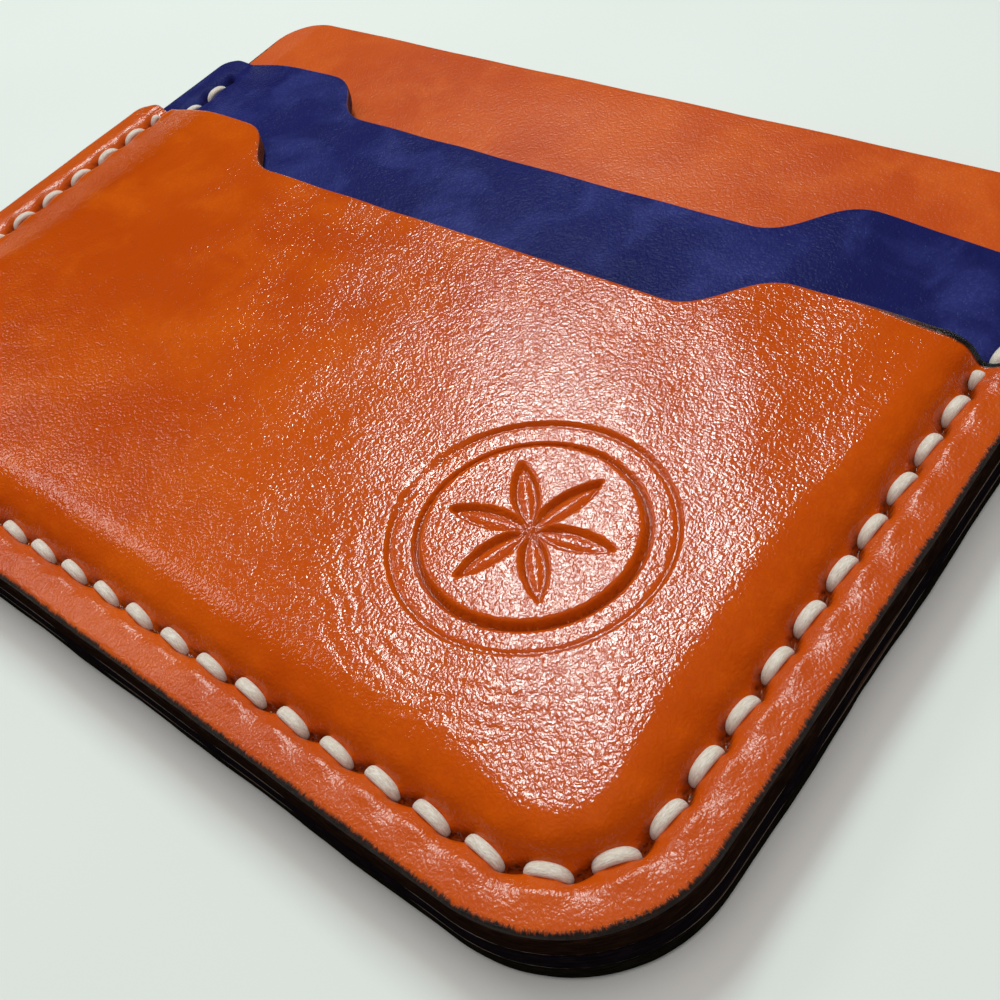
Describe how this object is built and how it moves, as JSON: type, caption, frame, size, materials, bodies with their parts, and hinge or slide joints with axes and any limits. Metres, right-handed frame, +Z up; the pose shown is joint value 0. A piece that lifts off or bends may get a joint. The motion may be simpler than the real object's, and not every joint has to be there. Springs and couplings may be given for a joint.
{
  "type": "leather card wallet",
  "caption": "Flat leather wallet with overlapping card pockets: cemented and saddle-stitched panels, stepped mouths with a shallow recess, rounded corners and burnished edges.",
  "frame": {"origin": "under the middle of the wallet, on the face that it lies on", "axes": "+X along the pocket mouths, +Y out of the pockets, +Z up through the layers to the front"},
  "size_m": [0.0954, 0.075, 0.0071],
  "materials": {
    "back_leather": "pebbled full-grain leather dyed orange tan, burnished dark edge",
    "middle_leather": "mottled full-grain leather dyed navy, burnished dark edge",
    "front_leather": "pebbled full-grain leather dyed orange tan, semi-gloss, burnished dark edge",
    "waxed_thread": "waxed cream thread",
    "contact_cement": "dried contact cement"
  },
  "bodies": {
    "root": {"back_panel": "back_leather", "middle_pocket": "middle_leather", "front_pocket": "front_leather", "rear_cement": "contact_cement", "front_cement": "contact_cement", "front_stitches": "waxed_thread", "middle_stitches": "waxed_thread", "edge_stitches": "waxed_thread", "back_stitches": "waxed_thread", "thread_crossings": "waxed_thread", "thread_ends": "waxed_thread"}
  },
  "joints": []
}
